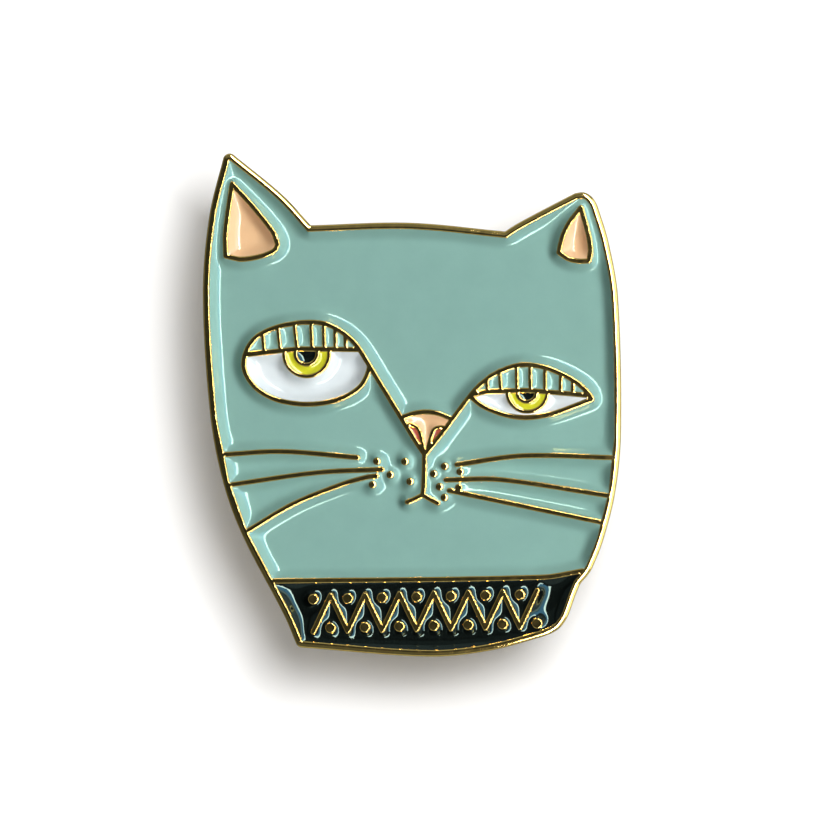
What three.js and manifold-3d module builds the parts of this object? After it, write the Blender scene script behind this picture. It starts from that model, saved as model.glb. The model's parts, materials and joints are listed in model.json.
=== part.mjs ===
// Enamel pin: a cat's face with a patterned collar, held on by two posts and two butterfly clutches.
//
// Millimetres. The pin lies face up: +Z leaves the face, +Y points to the ears, and the origin is
// the middle of the flat back. Everything behind the back (posts and clutches) has a negative Z.

import * as THREE from 'three';
import { mergeVertices } from 'three/addons/utils/BufferGeometryUtils.js';
import Module from 'manifold-3d';

const wasm = await Module();
wasm.setup();

// ---------------------------------------------------------------- driving dimensions

const PLATE_TOP = 1.5; // flat back to the tops of the raised lines
const RECESS_FLOOR = 0.9; // flat back to the floor of the recesses that hold the enamel
const ENAMEL_TOP = 1.4; // soft enamel sinks a little below the lines
const SEAT = 0.02; // clearance all round every enamel fill

const RIM_WIDTH = 0.42;
const LINE_WIDTH = 0.34;
const THIN_LINE_WIDTH = 0.26;
const MOTIF_WIDTH = 0.34;
const DOT_RADIUS = 0.25;
const STUD_RADIUS = 0.34;

const POST_X = 7.2; // each post's distance from the pin's middle
const POST_Y = 1;
const POST_RADIUS = 0.55;
const POST_LENGTH = 7; // flat back to the post's point
const POINT_LENGTH = 1.1; // sharpened end of the post
const POINT_FLAT = 0.12; // radius of the blunt tip
const GROOVE_RADIUS = 0.41; // the groove that the clutch's jaws snap into
const GROOVE_LENGTH = 0.4;
const GROOVE_SLOPE = 0.2;
const PAD_RADIUS = 1.8;
const PAD_THICKNESS = 0.35;
const SOLDER_RADIUS = 2.6;
const BEAD_HEIGHT = 0.22;
const SPOT_RADIUS = 2.7; // shallow milled spot that the pad is soldered into
const SPOT_DEPTH = 0.1;

const FABRIC_GAP = 2.4; // back to clutch when the post's point meets the clutch's dome
const POINT_CLEARANCE = 0.05; // between the post's point and the dome
const SHEET = 0.3; // sheet metal of the disc and the cover
const DISC_RADIUS = 5.75;
const DISC_HOLE_RADIUS = 0.85;
const LIP_DEPTH = 0.95; // how far the disc's edge curls down
const LIP_THICKNESS = 0.35;
const DISC_ROUNDING = 0.15;
const FLANGE_RADIUS = 5.1;
const FLANGE_DEPTH = 0.65; // fabric face to the cover's flange
const CUP_RADIUS = 3.85; // inside of the cup's wall
const SLOT_WIDTH = 2.6; // slots in the cover that the wings come out of
const SLOT_HEIGHT = 2.2;
const SLOT_START = 2.7; // from the post's axis
const SLOT_LENGTH = 4.3;
const JAW_CLEARANCE = 0.07;
const WING_SHEET = 0.4;
const PIVOT_REACH = 2.6; // wing pivot from the post's axis
const PIVOT_DEPTH = 2.4; // wing pivot below the clutch's fabric face
const WING_NECK = 2; // width of a wing inside the cover
const WING_TAB = 4.4; // width of a wing's finger tab
const NECK_END = 4.35; // where the neck starts to widen, from the post's axis
const TAB_START = 5.2; // where the tab has its full width
const TAB_CORNER = 0.2;
const SPRING_RADIUS = 3.1;
const SPRING_WIRE = 0.2; // radius of the wire
const SPRING_DEPTH = 1.75;
const SPRING_GAP = 0.3; // radians from the spring's end to the middle of its opening

const FACET_ANGLE = 0.14; // radians turned by a smooth line between two of its points
const CORNER_ANGLE = 0.5; // radians; a sharper turn than this is a corner
const CORNER_STEP = 0.27; // radians per segment of a corner that opens out
const CAP_STEPS = 4; // segments of a stroke's round end
const DISC_STEPS = 24; // segments of the wide turned pieces
const POST_STEPS = 16;
const DOT_STEPS = 8;
const WIRE_SIDES = 6;
const RING_STEPS = 20;

// ---------------------------------------------------------------- materials

const gold = () => new THREE.MeshStandardMaterial({ color: 0xb08d3c, roughness: 0.25, metalness: 1 });
const nickel = () => new THREE.MeshStandardMaterial({ color: 0xb9b7ae, roughness: 0.3, metalness: 1 });
const spring = () => new THREE.MeshStandardMaterial({ color: 0x8c8c8c, roughness: 0.35, metalness: 1 });
const solder = () => new THREE.MeshStandardMaterial({ color: 0x9a9a98, roughness: 0.5, metalness: 1 });
const enamel = (color) => new THREE.MeshStandardMaterial({ color, roughness: 0.2, metalness: 0 });

const TEAL = 0x88b2a8;
const PEACH = 0xf0c39b;
const CORAL = 0xbe6e5a;
const WHITE = 0xe6ebf0;
const YELLOW = 0xd8d032;
const BLACK = 0x141916;

// ---------------------------------------------------------------- plane curves

// A smooth line through hand-placed points, with as many points as its bends need.
function smooth(points) {
  const curve = new THREE.SplineCurve(points.map(([x, y]) => new THREE.Vector2(x, y)));
  const fine = curve.getPoints((points.length - 1) * 12);
  const headings = fine.slice(1).map((point, i) => point.clone().sub(fine[i]));
  const kept = [fine[0]];
  let bend = 0;
  for (let i = 1; i < headings.length; i += 1) {
    bend += Math.abs(Math.atan2(headings[i - 1].cross(headings[i]), headings[i - 1].dot(headings[i])));
    if (bend > FACET_ANGLE) {
      kept.push(fine[i]);
      bend = 0;
    }
  }
  return [...kept, fine.at(-1)];
}

// An arc of a circle, angles in degrees, anticlockwise from `from` to `to`.
function arc(x, y, radius, from, to, steps = 16) {
  const [start, end] = [from, to].map(THREE.MathUtils.degToRad);
  return new THREE.EllipseCurve(x, y, radius, radius, start, end).getPoints(steps);
}

// A closed circle.
function circle(x, y, radius, steps) {
  return arc(x, y, radius, 0, 360, steps).slice(0, -1);
}

// A closed line made of smooth runs that meet at corners.
function loopOf(runs) {
  return runs.flatMap((run) => smooth(run).slice(0, -1));
}

const leftNormal = (from, to) => {
  const along = to.clone().sub(from).normalize();
  return new THREE.Vector2(-along.y, along.x);
};

// The point of a line moved sideways by `distance`, so that both edges it joins move by as much.
function mitred(point, before, after, distance) {
  const normal = before.clone().add(after).normalize();
  return point.clone().addScaledVector(normal, distance / normal.dot(before));
}

// A closed anticlockwise loop grown by `distance` (shrunk when negative). Corners that open out
// become round, and the others stay sharp.
function grown(loop, distance) {
  return loop.flatMap((point, i) => {
    const before = leftNormal(loop.at(i - 1), point).negate();
    const after = leftNormal(point, loop[(i + 1) % loop.length]).negate();
    const turn = Math.atan2(before.cross(after), before.dot(after));
    if (turn * distance <= 0 || Math.abs(turn) < CORNER_ANGLE) {
      return [mitred(point, before, after, distance)];
    }
    const steps = Math.ceil(Math.abs(turn) / CORNER_STEP);
    return Array.from({ length: steps + 1 }, (_, k) => {
      const normal = before.clone().rotateAround(new THREE.Vector2(), (turn * k) / steps);
      return point.clone().addScaledVector(normal, distance);
    });
  });
}

// The outline of a stroke of a given width with round ends.
function stroke(line, width) {
  const half = width / 2;
  const last = line.length - 1;
  const normals = line.slice(0, last).map((point, i) => leftNormal(point, line[i + 1]));
  const side = (sign) => line.map((point, i) =>
    mitred(point, normals[Math.max(i - 1, 0)], normals[Math.min(i, last - 1)], sign * half));
  const cap = (centre, normal) => Array.from({ length: CAP_STEPS - 1 }, (_, k) => {
    const spoke = normal.clone().rotateAround(new THREE.Vector2(), (-Math.PI * (k + 1)) / CAP_STEPS);
    return centre.clone().addScaledVector(spoke, half);
  });
  const endCap = cap(line[last], normals[last - 1]);
  const startCap = cap(line[0], normals[0].clone().negate());
  return [...side(1), ...endCap, ...side(-1).reverse(), ...startCap];
}

// ---------------------------------------------------------------- solids

function solidOf(geometry) {
  const bare = geometry.clone();
  bare.deleteAttribute('normal');
  bare.deleteAttribute('uv');
  const merged = mergeVertices(bare, 1e-5);
  const { Mesh, Manifold } = wasm;
  return new Manifold(new Mesh({
    numProp: 3,
    vertProperties: Float32Array.from(merged.attributes.position.array),
    triVerts: Uint32Array.from(merged.index.array),
  }));
}

function geometryOf(solid) {
  const mesh = solid.asOriginal().simplify(1e-4).getMesh();
  const geometry = new THREE.BufferGeometry();
  geometry.setAttribute('position', new THREE.BufferAttribute(mesh.vertProperties, 3));
  geometry.setIndex(new THREE.BufferAttribute(mesh.triVerts, 1));
  geometry.computeVertexNormals();
  return geometry;
}

// A flat outline raised from z = low to z = high.
function prism(outline, low, high, holes = []) {
  const shape = new THREE.Shape(outline);
  shape.holes = holes.map((hole) => new THREE.Path(hole));
  const geometry = new THREE.ExtrudeGeometry(shape, { depth: high - low, bevelEnabled: false });
  return solidOf(geometry.translate(0, 0, low));
}

// A piece turned about the Z axis from [radius, z] points.
function turned(profile, steps = DISC_STEPS) {
  const geometry = new THREE.LatheGeometry(profile.map(([r, z]) => new THREE.Vector2(r, z)), steps);
  return geometry.rotateX(Math.PI / 2);
}

const joined = (solids) => solids.reduce((whole, solid) => whole.add(solid));

const pin = new THREE.Group();

function addPiece(name, geometry, material, parent = pin) {
  const mesh = new THREE.Mesh(geometry, material);
  mesh.name = name;
  parent.add(mesh);
}

// ---------------------------------------------------------------- drawing of the face

// Inner edge of the rim, anticlockwise in runs that meet at the corners.
const HEAD_EDGE = loopOf([
  [[-6.95, -14.95], [-4.5, -15.2], [-2, -15.42], [0.4, -15.53], [2.5, -15.43], [5, -15.12], [7.2, -14.55],
    [8.7, -14.05], [9.35, -13.45], [9.8, -12.4], [10.25, -11.2]],
  [[10.25, -11.2], [11, -10.2], [11.65, -8.6], [12.22, -6.6], [12.63, -4.3], [12.8, -2], [12.84, 1],
    [12.82, 4], [12.6, 7], [12.18, 9.6], [11.65, 11.5], [11.28, 12.6], [10.88, 13.02], [10.45, 13]],
  [[10.45, 13], [8, 11.8], [6, 10.55]],
  [[6, 10.55], [3.5, 10.87], [0.5, 11.1], [-2, 11.08], [-4.4, 10.98], [-6.6, 10.95]],
  [[-6.6, 10.95], [-7.45, 11.85], [-8.47, 12.97], [-9.85, 14.17], [-11.55, 15.5]],
  [[-11.55, 15.5], [-12.2, 13.1], [-12.6, 10.6], [-12.8, 8], [-12.8, 5], [-12.6, 1.5], [-12.15, -2],
    [-11.5, -5], [-10.4, -8], [-8.85, -11], [-7.7, -13.2], [-6.95, -14.95]],
]);

// Raised lines of ordinary width: each is one pen stroke.
const LINES = {
  // One stroke runs over the left eye, down the brow and the side of the nose to its tip.
  brow: [[-10.6, 3.05], [-10.33, 3.72], [-9.75, 4.37], [-8.8, 4.84], [-7.7, 5.13], [-6.5, 5.24],
    [-5.4, 5.1], [-4.4, 4.6], [-3.6, 3.88], [-2.95, 2.95], [-2.1, 1.5], [-1.2, 0.1], [-0.53, -1.05],
    [0.1, -2.1], [0.78, -3.1]],
  eyeLeft: [[-10.6, 3.05], [-10.64, 2.4], [-10.35, 1.65], [-9.7, 0.93], [-8.7, 0.38], [-7.5, 0.1],
    [-6.3, 0.05], [-5.1, 0.22], [-4, 0.63], [-3.2, 1.25], [-2.8, 2], [-2.68, 2.45]],
  lidLeft: [[-10.5, 3.2], [-9, 3.42], [-7.3, 3.55], [-5.3, 3.55], [-3.35, 3.5]],
  noseRight: [[0.86, -3.1], [1.62, -2.2], [2.05, -1.58], [2.5, -0.93], [3.08, -0.2], [3.7, 0.6]],
  lashRight: [[3.7, 0.6], [4.32, 1.28], [5.2, 1.95], [6.3, 2.41], [7.3, 2.54], [8.5, 2.35], [9.6, 1.9],
    [10.5, 1.37], [11.08, 0.83], [11.4, 0.37]],
  eyeRight: [[3.7, 0.55], [4.4, -0.03], [5.4, -0.48], [6.4, -0.74], [7.4, -0.8], [8.5, -0.65],
    [9.6, -0.34], [10.6, 0.02], [11.4, 0.37]],
  lidRight: [[3.75, 0.62], [5, 0.87], [7.3, 0.93], [9.3, 0.84], [11.25, 0.6]],
  noseTop: [[-0.66, -0.8], [0.1, -0.54], [0.9, -0.44], [1.7, -0.55], [2.5, -0.88]],
  philtrum: [[0.8, -3.1], [0.82, -4], [0.76, -5], [0.68, -5.7]],
  mouthLeft: [[0.68, -5.7], [0.25, -5.93], [-0.3, -6.15]],
  mouthRight: [[0.68, -5.7], [1.15, -5.98], [1.65, -6.22]],
  whiskerLeft1: [[-12.1, -3.15], [-10.3, -2.99], [-8.2, -2.95], [-5.8, -3.1], [-3.45, -3.33]],
  whiskerLeft2: [[-11.4, -5.05], [-9.2, -4.63], [-6.8, -4.35], [-4.3, -4.18], [-1.9, -4.08]],
  whiskerLeft3: [[-10.45, -8], [-9, -7.07], [-7, -6.02], [-5, -5.22], [-3.2, -4.65], [-2.25, -4.5]],
  whiskerRight1: [[2.85, -3.78], [4.8, -3.43], [7, -3.22], [9.5, -3.14], [12.7, -3.34]],
  whiskerRight2: [[2.15, -4.75], [4.2, -4.67], [6.3, -4.79], [9.2, -5.13], [12.5, -5.75]],
  whiskerRight3: [[2.35, -5.42], [4, -5.64], [6.5, -6.17], [9.5, -6.85], [12.1, -7.45]],
  collarTop: [[-8.9, -11.15], [-4, -11.24], [0, -11.28], [4, -11.18], [8, -10.93], [10.85, -10.5]],
  earLeftOuter: [[-11.38, 14], [-11.63, 12.5], [-11.8, 10.9], [-11.78, 9.42]],
  earLeftBase: [[-11.78, 9.42], [-10.8, 9.22], [-9.6, 9.4], [-8.75, 9.75], [-8.5, 10.15]],
  earLeftInner: [[-8.5, 10.15], [-8.8, 10.95], [-9.4, 11.75], [-10.1, 12.6], [-10.7, 13.25],
    [-11.38, 14]],
  earRightInner: [[10.7, 12.5], [10, 11.6], [9.55, 10.7], [9.3, 9.65]],
  earRightBase: [[9.3, 9.65], [9.9, 9.25], [10.6, 9.1], [11.2, 9.12]],
  earRightOuter: [[11.2, 9.12], [11.3, 9.9], [11.1, 11.1], [10.7, 12.5]],
};

// Thinner raised lines: lash dividers and nostril edges.
const THIN_LINES = {
  nostrilLeft: [[-0.45, -1.25], [0.03, -1.27], [0.33, -1.43], [0.53, -1.8], [0.67, -2.4], [0.78, -3]],
  nostrilRight: [[2.15, -1.44], [1.8, -1.41], [1.48, -1.49], [1.3, -1.72], [1.14, -2.2], [0.93, -3]],
};

// Lash dividers: top end, and where each meets the lid line below it.
const LID_HEIGHT_LEFT = 3.5;
const LID_HEIGHT_RIGHT = 0.85;
const DIVIDERS_LEFT = [[-9.46, 4.55, -9.36], [-8.5, 4.95, -8.33], [-7.46, 5.2, -7.28], [-6.4, 5.26, -6.32],
  [-5.6, 5.16, -5.55], [-4.87, 4.9, -4.85], [-4.22, 4.5, -4.2]];
const DIVIDERS_RIGHT = [[4.75, 1.7, 4.78], [5.55, 2.2, 5.63], [6.62, 2.5, 6.65], [7.48, 2.55, 7.5],
  [8.42, 2.4, 8.42], [9.42, 2.02, 9.4], [10.2, 1.6, 10.17]];

const IRIS_LEFT = { x: -6.67, y: 3.24, radius: 1.43 };
const IRIS_RIGHT = { x: 7.3, y: 0.84, radius: 1.27 };
const PUPIL_LEFT = { x: -6.69, y: 3.25, radius: 0.7 };
const PUPIL_RIGHT = { x: 7.27, y: 0.8, radius: 0.6 };

const MUZZLE_DOTS = [[-2.22, -3.57], [-0.45, -3.58], [-1.38, -4.42], [-0.12, -4.85], [-2.5, -5.05],
  [2.07, -3.88], [3.05, -4.23], [1.37, -4.36], [1.75, -5.18], [2.95, -5.24], [2.05, -5.86]];

// The collar's motif: a zigzag that follows the collar's slight rise, with a stud in each angle.
const MOTIF_START = { x: -6.25, y: -13.22 };
const MOTIF_LEGS = 13;
const MOTIF_LEG_WIDTH = 1.09; // along the collar
const MOTIF_HEIGHT = 2.3;
const MOTIF_RISE = 0.022; // per millimetre along the collar
const STUD_HEIGHT = 0.92; // stud centre above or below the zigzag's middle line

function motif() {
  const at = (k, offset) => {
    const along = k * MOTIF_LEG_WIDTH;
    return new THREE.Vector2(MOTIF_START.x + along, MOTIF_START.y + MOTIF_RISE * along + offset);
  };
  const turns = Array.from({ length: MOTIF_LEGS + 1 }, (_, k) => k);
  const corners = turns.map((k) => at(k, (k % 2 ? 0.5 : -0.5) * MOTIF_HEIGHT));
  const studs = turns.map((k) => at(k, k % 2 ? -STUD_HEIGHT : STUD_HEIGHT));
  return { legs: corners.slice(1).map((corner, k) => [corners[k], corner]), studs };
}

// Outlines of every raised line, dot and stud, each `extra` wider all round.
function raisedOutlines(extra) {
  const { legs, studs } = motif();
  const line = (points) => stroke(points, LINE_WIDTH + 2 * extra);
  const thinLine = (points) => stroke(points, THIN_LINE_WIDTH + 2 * extra);
  const divider = (lidHeight) => ([topX, topY, bottomX]) =>
    thinLine([new THREE.Vector2(topX, topY), new THREE.Vector2(bottomX, lidHeight)]);
  const underLid = (lidHeight) => ({ x, y, radius }) => {
    const reach = THREE.MathUtils.radToDeg(Math.asin((lidHeight - y) / radius));
    return thinLine(arc(x, y, radius, -180 - reach, reach));
  };
  const disc = (x, y, radius) => circle(x, y, radius + extra, DOT_STEPS);
  return [
    ...Object.values(LINES).map((points) => line(smooth(points))),
    ...Object.values(THIN_LINES).map((points) => thinLine(smooth(points))),
    ...DIVIDERS_LEFT.map(divider(LID_HEIGHT_LEFT)),
    ...DIVIDERS_RIGHT.map(divider(LID_HEIGHT_RIGHT)),
    ...[IRIS_LEFT, PUPIL_LEFT].map(underLid(LID_HEIGHT_LEFT)),
    ...[IRIS_RIGHT, PUPIL_RIGHT].map(underLid(LID_HEIGHT_RIGHT)),
    ...MUZZLE_DOTS.map(([x, y]) => disc(x, y, DOT_RADIUS)),
    ...legs.map((leg) => stroke(leg, MOTIF_WIDTH + 2 * extra)),
    ...studs.map(({ x, y }) => disc(x, y, STUD_RADIUS)),
  ];
}

// ---------------------------------------------------------------- die-struck body

function basePlate() {
  const outline = grown(HEAD_EDGE, RIM_WIDTH);
  const plate = prism(outline, 0, RECESS_FLOOR);
  const rim = prism(outline, 0, PLATE_TOP, [HEAD_EDGE]);
  const lines = joined(raisedOutlines(0).map((shape) => prism(shape, RECESS_FLOOR / 2, PLATE_TOP)));
  const spot = (x) => prism(circle(x, POST_Y, SPOT_RADIUS, DISC_STEPS), -SPOT_DEPTH, SPOT_DEPTH);
  return plate.add(rim).add(lines).subtract(spot(-POST_X)).subtract(spot(POST_X));
}

// ---------------------------------------------------------------- enamel

// Every fill by name, with its colour and a point inside it.
const FILLS = [
  ['enamel_face', TEAL, [0, 8]],
  ['ear_left', PEACH, [-10.8, 11]],
  ['ear_right', PEACH, [10.4, 10.4]],
  ['eye_white_left', WHITE, [-9.5, 2]],
  ['eye_white_right', WHITE, [5, 0.3]],
  ['iris_left', YELLOW, [-6.72, 2.3]],
  ['iris_right', YELLOW, [7.3, -0.1]],
  ['pupil_left', BLACK, [-6.7, 3.1]],
  ['pupil_right', BLACK, [7.28, 0.6]],
  ['nose', PEACH, [0.8, -0.9]],
  ['nostril_left', CORAL, [0.22, -1.75]],
  ['nostril_right', CORAL, [1.65, -1.7]],
  ['collar', BLACK, [0, -11.6]],
  ...[-9.95, -8.95, -7.95, -6.9, -6, -5.25, -4.52, -3.95].map(
    (x, i) => [`lid_left_${i + 1}`, TEAL, [x, LID_HEIGHT_LEFT + 0.3]]),
  ...[[4.5, 1.07], [5.2, 1.3], [6.1, 1.5], [7.05, 1.5], [7.95, 1.5], [8.9, 1.5], [9.8, 1.3], [10.42, 1.07]]
    .map((inside, i) => [`lid_right_${i + 1}`, TEAL, inside]),
];

// Whether a point lies on the flat top of a fill.
function topHolds(geometry, [x, y]) {
  const point = new THREE.Vector3(x, y, 0);
  const positions = geometry.attributes.position;
  const corner = (i) => new THREE.Vector3().fromBufferAttribute(positions, i);
  const corners = Array.from(geometry.index.array, corner);
  for (let i = 0; i < corners.length; i += 3) {
    const triangle = corners.slice(i, i + 3);
    const flatTop = triangle.every(({ z }) => z > ENAMEL_TOP - SEAT);
    const [a, b, c] = triangle.map((vertex) => vertex.clone().setZ(0));
    if (flatTop && THREE.Triangle.containsPoint(point, a, b, c)) {
      return true;
    }
  }
  return false;
}

function addEnamel() {
  const walls = joined(raisedOutlines(SEAT).map((shape) => prism(shape, 0, PLATE_TOP)));
  const poured = prism(grown(HEAD_EDGE, -SEAT), RECESS_FLOOR + SEAT, ENAMEL_TOP).subtract(walls);
  const fills = poured.decompose().map(geometryOf);
  for (const [name, color, inside] of FILLS) {
    const found = fills.filter((geometry) => topHolds(geometry, inside));
    if (found.length !== 1) {
      throw new Error(`${name}: ${found.length} fills hold its point`);
    }
    addPiece(name, found[0], enamel(color));
  }
  if (fills.length !== FILLS.length) {
    throw new Error(`${fills.length} fills for ${FILLS.length} names`);
  }
}

// ---------------------------------------------------------------- posts

function post() {
  const tip = -POST_LENGTH;
  const grooveStart = tip + POINT_LENGTH + GROOVE_SLOPE;
  const grooveEnd = grooveStart + GROOVE_LENGTH;
  return turned([
    [0, tip],
    [POINT_FLAT, tip + POINT_FLAT / 2],
    [POST_RADIUS * 0.8, tip + POINT_LENGTH],
    [GROOVE_RADIUS, grooveStart],
    [GROOVE_RADIUS, grooveEnd],
    [POST_RADIUS, grooveEnd + GROOVE_SLOPE],
    [POST_RADIUS, -PAD_THICKNESS],
    [PAD_RADIUS, -PAD_THICKNESS],
    [PAD_RADIUS, SPOT_DEPTH - SEAT],
    [0, SPOT_DEPTH - SEAT],
  ], POST_STEPS);
}

// The bead of solder round a post's pad, with a hollow slope.
function solderBead() {
  const inner = PAD_RADIUS + SEAT;
  const top = SPOT_DEPTH - SEAT;
  const slope = [0, 0.25, 0.5, 1].map((share) =>
    [THREE.MathUtils.lerp(inner, SOLDER_RADIUS, share), -BEAD_HEIGHT * (1 - share) ** 2]);
  return turned([...slope, [SOLDER_RADIUS, top], [inner, top], slope[0]]);
}

// ---------------------------------------------------------------- butterfly clutch
// Clutch pieces are drawn about the post's axis, with z = 0 at the face that meets the fabric.

// The base disc: flat towards the fabric, its edge curled down over the cover's flange.
function clutchDisc() {
  const curl = DISC_RADIUS - LIP_THICKNESS;
  return turned([
    [DISC_HOLE_RADIUS, -SHEET],
    [curl, -SHEET],
    [curl, -LIP_DEPTH],
    [DISC_RADIUS - DISC_ROUNDING, -LIP_DEPTH],
    [DISC_RADIUS, DISC_ROUNDING - LIP_DEPTH],
    [DISC_RADIUS, -DISC_ROUNDING],
    [DISC_RADIUS - DISC_ROUNDING, 0],
    [DISC_HOLE_RADIUS, 0],
    [DISC_HOLE_RADIUS, -SHEET],
  ]);
}

// The cover: a pressed cup on a flat flange, open towards the disc, slotted for the two wings.
function clutchCover() {
  const dome = FABRIC_GAP - POST_LENGTH - POINT_CLEARANCE;
  const inside = [[0, dome], [1.2, dome], [2.5, dome + 0.15], [3.25, dome + 0.55], [3.65, dome + 1.1],
    [CUP_RADIUS, -2 * FLANGE_DEPTH], [CUP_RADIUS + 0.2, -FLANGE_DEPTH], [FLANGE_RADIUS, -FLANGE_DEPTH]];
  const line = inside.map(([r, z]) => new THREE.Vector2(r, z));
  const normals = line.slice(1).map((point, i) => leftNormal(line[i], point));
  const outside = line.map((point, i) =>
    mitred(point, normals[Math.max(i - 1, 0)], normals[Math.min(i, normals.length - 1)], -SHEET));
  const cup = solidOf(turned([...outside.map(({ x, y }) => [x, y]), ...inside.reverse()]));
  const slot = (sign) => solidOf(new THREE.BoxGeometry(SLOT_WIDTH, SLOT_LENGTH, SLOT_HEIGHT)
    .translate(0, sign * (SLOT_START + SLOT_LENGTH / 2), dome + SLOT_HEIGHT / 2));
  return cup.subtract(slot(1)).subtract(slot(-1));
}

// A wing towards +Y: a lever of bent sheet from the jaw at the post, through the pivot bend and the
// cover's slot, to the finger tab.
function clutchWing() {
  const jaw = POST_RADIUS + JAW_CLEARANCE + WING_SHEET / 2;
  const bend = smooth([[jaw, -1.15], [1.7, -1.3], [2.35, -1.75], [PIVOT_REACH, -PIVOT_DEPTH], [3.4, -3.15],
    [4.7, -3.65], [5.5, -4.4], [5.85, -5.4]]);
  const profile = new THREE.Shape(stroke(bend, WING_SHEET));
  const lever = new THREE.ExtrudeGeometry(profile, { depth: WING_TAB, bevelEnabled: false });
  // The drawn profile lies in XY: turn it so that its X runs along +Y and its Y along Z.
  lever.translate(0, 0, -WING_TAB / 2).rotateX(Math.PI / 2).rotateZ(Math.PI / 2);
  const neck = WING_NECK / 2;
  const tab = WING_TAB / 2;
  const end = TAB_START + WING_TAB / 2;
  const rightSide = [[neck, 0], [neck, NECK_END], [tab - TAB_CORNER, NECK_END + 2 * TAB_CORNER],
    [tab, TAB_START], [tab, end]];
  const leftSide = rightSide.map(([x, y]) => [-x, y]).reverse();
  const plan = [...rightSide, ...leftSide].map(([x, y]) => new THREE.Vector2(x, y));
  return solidOf(lever).intersect(prism(plan, -2 * POST_LENGTH, 0));
}

// The open ring that holds both jaws against the post.
class OpenRing extends THREE.Curve {
  getPoint(t) {
    const angle = THREE.MathUtils.lerp(SPRING_GAP, 2 * Math.PI - SPRING_GAP, t);
    const spoke = new THREE.Vector2(SPRING_RADIUS, 0).rotateAround(new THREE.Vector2(), angle);
    return new THREE.Vector3(spoke.x, spoke.y, -SPRING_DEPTH);
  }
}

function clutchSpring() {
  const wire = new THREE.Shape(circle(0, 0, SPRING_WIRE, WIRE_SIDES));
  return new THREE.ExtrudeGeometry(wire, { steps: RING_STEPS, extrudePath: new OpenRing() });
}

function addClutch(side, x) {
  const clutch = new THREE.Group();
  clutch.position.set(x, POST_Y, -FABRIC_GAP);
  pin.add(clutch);
  const wing = geometryOf(clutchWing());
  addPiece(`clutch_disc_${side}`, clutchDisc(), nickel(), clutch);
  addPiece(`clutch_cover_${side}`, geometryOf(clutchCover()), nickel(), clutch);
  addPiece(`wing_${side}_a`, wing, nickel(), clutch);
  addPiece(`wing_${side}_b`, wing.clone().rotateZ(Math.PI), nickel(), clutch);
  addPiece(`spring_${side}`, clutchSpring(), spring(), clutch);
}

// ---------------------------------------------------------------- assembly

addPiece('base_plate', geometryOf(basePlate()), gold());
addEnamel();
for (const [side, x] of [['left', -POST_X], ['right', POST_X]]) {
  addPiece(`post_${side}`, post().translate(x, POST_Y, 0), gold());
  addPiece(`solder_${side}`, solderBead().translate(x, POST_Y, 0), solder());
  addClutch(side, x);
}

export default pin;
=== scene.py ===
"""Looks for the enamel pin: rounded gold lines, poured enamel with its meniscus, posts and clutches.

Metres, in the row frame: +Z leaves the face, +Y points to the ears, z = 0 is the flat back.
"""

import json
import math

import bmesh
import bpy
import numpy as np
from mathutils import Matrix, Vector
from mathutils.bvhtree import BVHTree
from mathutils.geometry import delaunay_2d_cdt

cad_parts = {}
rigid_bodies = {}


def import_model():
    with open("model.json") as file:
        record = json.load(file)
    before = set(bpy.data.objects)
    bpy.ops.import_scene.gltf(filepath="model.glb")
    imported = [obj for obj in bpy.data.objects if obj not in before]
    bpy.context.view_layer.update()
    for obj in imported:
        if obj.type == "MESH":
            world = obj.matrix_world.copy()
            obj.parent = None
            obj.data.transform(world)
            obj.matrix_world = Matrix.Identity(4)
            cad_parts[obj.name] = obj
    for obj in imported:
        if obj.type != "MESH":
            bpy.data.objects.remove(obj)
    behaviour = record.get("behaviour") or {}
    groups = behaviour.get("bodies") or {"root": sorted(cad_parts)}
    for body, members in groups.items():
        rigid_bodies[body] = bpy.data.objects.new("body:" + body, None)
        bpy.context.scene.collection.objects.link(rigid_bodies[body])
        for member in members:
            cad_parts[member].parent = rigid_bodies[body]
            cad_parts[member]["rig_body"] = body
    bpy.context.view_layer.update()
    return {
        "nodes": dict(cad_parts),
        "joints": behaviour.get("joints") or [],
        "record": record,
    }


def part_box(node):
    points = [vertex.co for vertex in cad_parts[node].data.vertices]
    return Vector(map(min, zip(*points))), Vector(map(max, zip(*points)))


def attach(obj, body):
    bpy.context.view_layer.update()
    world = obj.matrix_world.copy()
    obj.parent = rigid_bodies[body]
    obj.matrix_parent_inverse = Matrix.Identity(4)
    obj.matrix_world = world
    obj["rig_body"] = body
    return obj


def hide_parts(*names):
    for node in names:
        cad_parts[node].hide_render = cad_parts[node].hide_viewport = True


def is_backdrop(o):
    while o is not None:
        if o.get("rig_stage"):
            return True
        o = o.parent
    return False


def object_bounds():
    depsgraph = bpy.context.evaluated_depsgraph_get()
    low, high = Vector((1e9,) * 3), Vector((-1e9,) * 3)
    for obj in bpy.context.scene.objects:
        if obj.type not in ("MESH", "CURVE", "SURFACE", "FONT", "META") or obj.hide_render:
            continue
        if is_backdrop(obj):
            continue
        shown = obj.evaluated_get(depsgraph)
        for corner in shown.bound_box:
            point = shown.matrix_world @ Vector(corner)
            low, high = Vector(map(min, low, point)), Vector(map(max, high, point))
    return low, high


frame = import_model()

MM = 0.001
TOUCH = 1e-7  # two points nearer than this are one

# ---------------------------------------------------------------- sizes

PLATE_LOW, PLATE_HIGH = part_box("base_plate")
ENAMEL_LOW, ENAMEL_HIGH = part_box("enamel_face")
PLATE_TOP = PLATE_HIGH.z
RECESS_FLOOR = ENAMEL_LOW.z
SPOT_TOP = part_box("post_left")[1].z + 0.02 * MM  # floor of the shallow spots that the posts stand in

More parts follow.
